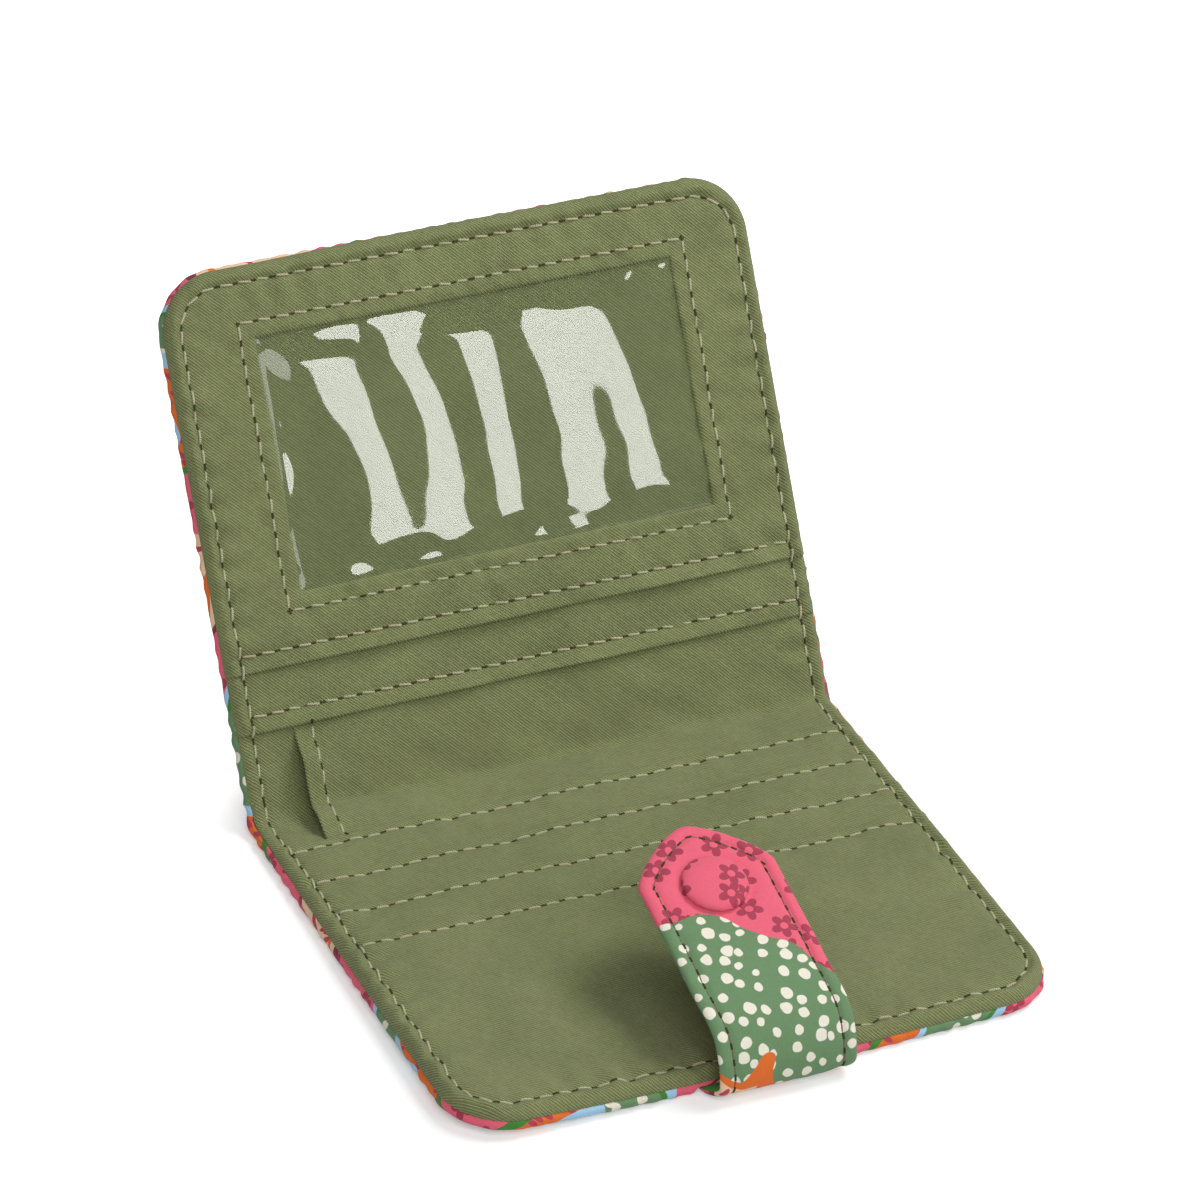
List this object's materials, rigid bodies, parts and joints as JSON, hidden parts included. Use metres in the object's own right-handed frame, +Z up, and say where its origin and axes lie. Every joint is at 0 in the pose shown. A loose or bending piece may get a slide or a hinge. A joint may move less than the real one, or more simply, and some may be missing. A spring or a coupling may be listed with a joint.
{
  "type": "bifold snap-tab wallet",
  "caption": "Small padded fabric bi-fold wallet, half open, with a clear ID window, card pockets, a side-loading bill pocket and a snap tab that folds over the front edge.",
  "frame": {"origin": "under the middle of the wallet's box as it stands half open, on the surface it rests on", "axes": "+Z up; X along the fold crease, with the bill pocket's open side at -X; -Y towards the front edge and the tab, +Y towards the back, where the upper half leans"},
  "size_m": [0.12, 0.1556, 0.0886],
  "materials": {
    "printed_cotton": "smooth woven print, matt",
    "lining_twill": "fine sage-green twill, matt with a faint sheen",
    "padding": "soft polyester wadding",
    "stiffener": "stiff non-woven interlining",
    "clear_vinyl": "clear, glossy and slightly wavy",
    "thread": "khaki sewing thread",
    "snap_metal": "nickel-plated, satin"
  },
  "bodies": {
    "lower": {"lower_cover": "printed_cotton", "lower_padding": "padding", "lower_lining": "lining_twill", "lower_bill_wall": "lining_twill", "card_pocket_1": "lining_twill", "card_pocket_2": "lining_twill", "card_pocket_3": "lining_twill", "card_pocket_4": "lining_twill", "lower_edge_stitching": "thread", "card_pocket_stitching": "thread", "fold_cover": "printed_cotton", "fold_padding": "padding", "tab_root": "printed_cotton", "tab_root_stitching": "thread", "tab_root_bend": "printed_cotton"},
    "spine": {"spine_cover": "printed_cotton", "spine_padding": "padding", "spine_lining": "lining_twill", "spine_bill_wall": "lining_twill", "spine_stitching": "thread"},
    "upper": {"upper_cover": "printed_cotton", "upper_padding": "padding", "upper_lining": "lining_twill", "upper_bill_wall": "lining_twill", "slip_pocket": "lining_twill", "id_panel": "lining_twill", "id_window": "clear_vinyl", "upper_edge_stitching": "thread", "upper_pocket_stitching": "thread", "window_stitching": "thread", "snap_stud": "snap_metal", "snap_stud_post": "snap_metal"},
    "tab_riser": {"tab_riser_face": "printed_cotton", "tab_riser_stiffener": "stiffener", "tab_riser_back": "printed_cotton", "tab_riser_stitching": "thread", "tab_top_bend": "printed_cotton"},
    "tab_end": {"tab_end_face": "printed_cotton", "tab_end_stiffener": "stiffener", "tab_end_back": "printed_cotton", "tab_end_stitching": "thread", "snap_cap": "printed_cotton", "snap_socket": "snap_metal"}
  },
  "joints": [
    {"name": "spine_fold", "type": "hinge", "parent": "lower", "child": "spine", "pos_m": [0, 0.02008, 0.0031], "axis": [1, 0, 0], "range_deg": [-57, 33], "deforming": ["fold_cover", "fold_padding"]},
    {"name": "upper_fold", "type": "hinge", "parent": "spine", "child": "upper", "pos_m": [0, 0.02389, 0.00897], "axis": [1, 0, 0], "range_deg": [0, 90]},
    {"name": "tab_swing", "type": "hinge", "parent": "lower", "child": "tab_riser", "pos_m": [-0.0005, -0.07642, 0.0014], "axis": [1, 0, 0], "range_deg": [0, 85], "deforming": ["tab_root_bend"]},
    {"name": "tab_flap", "type": "hinge", "parent": "tab_riser", "child": "tab_end", "pos_m": [-0.0005, -0.07642, 0.01575], "axis": [1, 0, 0], "range_deg": [-15, 75], "deforming": ["tab_top_bend"]}
  ]
}
